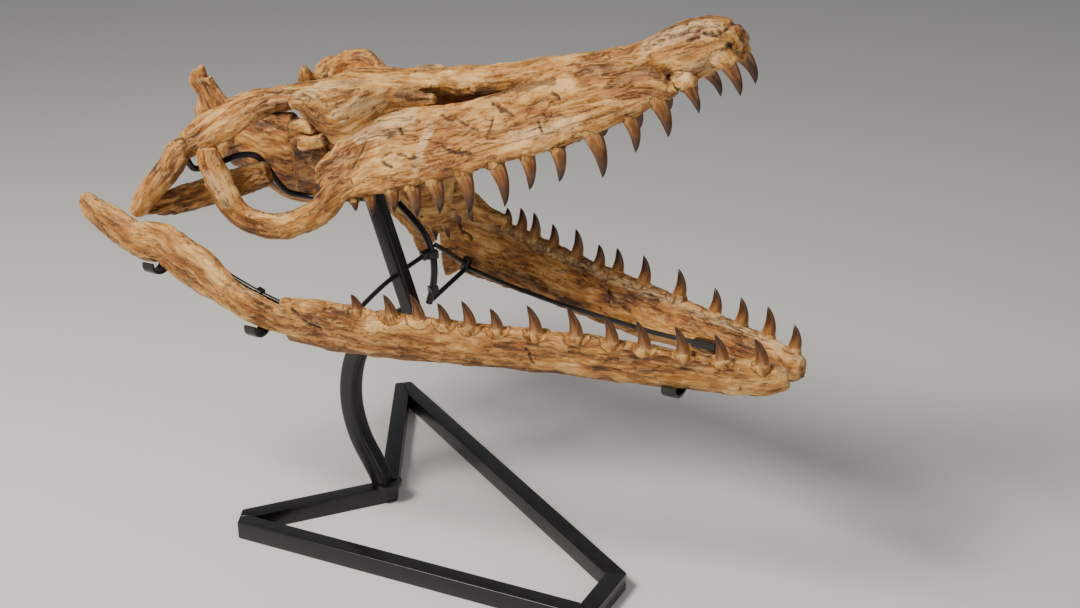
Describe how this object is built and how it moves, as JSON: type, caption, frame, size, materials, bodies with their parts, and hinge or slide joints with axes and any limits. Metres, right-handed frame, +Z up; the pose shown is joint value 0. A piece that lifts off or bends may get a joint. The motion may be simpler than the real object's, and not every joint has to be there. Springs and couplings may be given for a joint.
{
  "type": "mosasaur skull fossil on a stand",
  "caption": "Fossil marine reptile skull with gaping toothed jaws, cranium and lower jaws held apart on a welded steel tube and rod stand.",
  "frame": {"origin": "on the floor under the foot of the post, at the inner corner where two tubes of the base meet", "axes": "+X towards the tip of the snout, +Y towards the animal's left, +Z up"},
  "size_m": [0.9458, 0.5385, 0.747],
  "materials": {
    "braincase": "matt ochre fossil bone, brown in the hollows, with glossy brown teeth where it bears any",
    "coronoid_left": "matt ochre fossil bone, brown in the hollows, with glossy brown teeth where it bears any",
    "dentary_left": "matt ochre fossil bone, brown in the hollows, with glossy brown teeth where it bears any",
    "dentary_right": "matt ochre fossil bone, brown in the hollows, with glossy brown teeth where it bears any",
    "frontal": "matt ochre fossil bone, brown in the hollows, with glossy brown teeth where it bears any",
    "jugal_left": "matt ochre fossil bone, brown in the hollows, with glossy brown teeth where it bears any",
    "jugal_right": "matt ochre fossil bone, brown in the hollows, with glossy brown teeth where it bears any",
    "maxilla_left": "matt ochre fossil bone, brown in the hollows, with glossy brown teeth where it bears any",
    "maxilla_right": "matt ochre fossil bone, brown in the hollows, with glossy brown teeth where it bears any",
    "parietal": "matt ochre fossil bone, brown in the hollows, with glossy brown teeth where it bears any",
    "postdentary_left": "matt ochre fossil bone, brown in the hollows, with glossy brown teeth where it bears any",
    "postdentary_right": "matt ochre fossil bone, brown in the hollows, with glossy brown teeth where it bears any",
    "postorbitofrontal_left": "matt ochre fossil bone, brown in the hollows, with glossy brown teeth where it bears any",
    "postorbitofrontal_right": "matt ochre fossil bone, brown in the hollows, with glossy brown teeth where it bears any",
    "prefrontal_left": "matt ochre fossil bone, brown in the hollows, with glossy brown teeth where it bears any",
    "prefrontal_right": "matt ochre fossil bone, brown in the hollows, with glossy brown teeth where it bears any",
    "premaxilla": "matt ochre fossil bone, brown in the hollows, with glossy brown teeth where it bears any",
    "pterygoid_left": "matt ochre fossil bone, brown in the hollows, with glossy brown teeth where it bears any",
    "pterygoid_right": "matt ochre fossil bone, brown in the hollows, with glossy brown teeth where it bears any",
    "quadrate_left": "matt ochre fossil bone, brown in the hollows, with glossy brown teeth where it bears any",
    "quadrate_ramus_left": "matt ochre fossil bone, brown in the hollows, with glossy brown teeth where it bears any",
    "quadrate_ramus_right": "matt ochre fossil bone, brown in the hollows, with glossy brown teeth where it bears any",
    "quadrate_right": "matt ochre fossil bone, brown in the hollows, with glossy brown teeth where it bears any",
    "squamosal_left": "matt ochre fossil bone, brown in the hollows, with glossy brown teeth where it bears any",
    "squamosal_right": "matt ochre fossil bone, brown in the hollows, with glossy brown teeth where it bears any",
    "stand_base_1": "satin black",
    "stand_base_2": "satin black",
    "stand_base_3": "satin black",
    "stand_base_4": "satin black",
    "stand_base_5": "satin black",
    "stand_clip_front_left": "satin black",
    "stand_clip_front_right": "satin black",
    "stand_clip_middle_right": "satin black",
    "stand_clip_rear_right": "satin black",
    "stand_cradle_left": "satin black",
    "stand_cradle_right": "satin black",
    "stand_cross_rod": "satin black",
    "stand_hub_plate": "satin black",
    "stand_jaw_rod_left": "satin black",
    "stand_jaw_rod_right": "satin black",
    "stand_post_lower": "satin black",
    "stand_post_upper": "satin black",
    "stand_strap": "satin black",
    "stand_strut_lower": "satin black",
    "stand_strut_upper": "satin black",
    "vomer": "matt ochre fossil bone, brown in the hollows, with glossy brown teeth where it bears any"
  },
  "bodies": {
    "root": {"braincase": "braincase", "coronoid_left": "coronoid_left", "dentary_left": "dentary_left", "dentary_right": "dentary_right", "frontal": "frontal", "jugal_left": "jugal_left", "jugal_right": "jugal_right", "maxilla_left": "maxilla_left", "maxilla_right": "maxilla_right", "parietal": "parietal", "postdentary_left": "postdentary_left", "postdentary_right": "postdentary_right", "postorbitofrontal_left": "postorbitofrontal_left", "postorbitofrontal_right": "postorbitofrontal_right", "prefrontal_left": "prefrontal_left", "prefrontal_right": "prefrontal_right", "premaxilla": "premaxilla", "pterygoid_left": "pterygoid_left", "pterygoid_right": "pterygoid_right", "quadrate_left": "quadrate_left", "quadrate_ramus_left": "quadrate_ramus_left", "quadrate_ramus_right": "quadrate_ramus_right", "quadrate_right": "quadrate_right", "squamosal_left": "squamosal_left", "squamosal_right": "squamosal_right", "stand_base_1": "stand_base_1", "stand_base_2": "stand_base_2", "stand_base_3": "stand_base_3", "stand_base_4": "stand_base_4", "stand_base_5": "stand_base_5", "stand_clip_front_left": "stand_clip_front_left", "stand_clip_front_right": "stand_clip_front_right", "stand_clip_middle_right": "stand_clip_middle_right", "stand_clip_rear_right": "stand_clip_rear_right", "stand_cradle_left": "stand_cradle_left", "stand_cradle_right": "stand_cradle_right", "stand_cross_rod": "stand_cross_rod", "stand_hub_plate": "stand_hub_plate", "stand_jaw_rod_left": "stand_jaw_rod_left", "stand_jaw_rod_right": "stand_jaw_rod_right", "stand_post_lower": "stand_post_lower", "stand_post_upper": "stand_post_upper", "stand_strap": "stand_strap", "stand_strut_lower": "stand_strut_lower", "stand_strut_upper": "stand_strut_upper", "vomer": "vomer"}
  },
  "joints": []
}
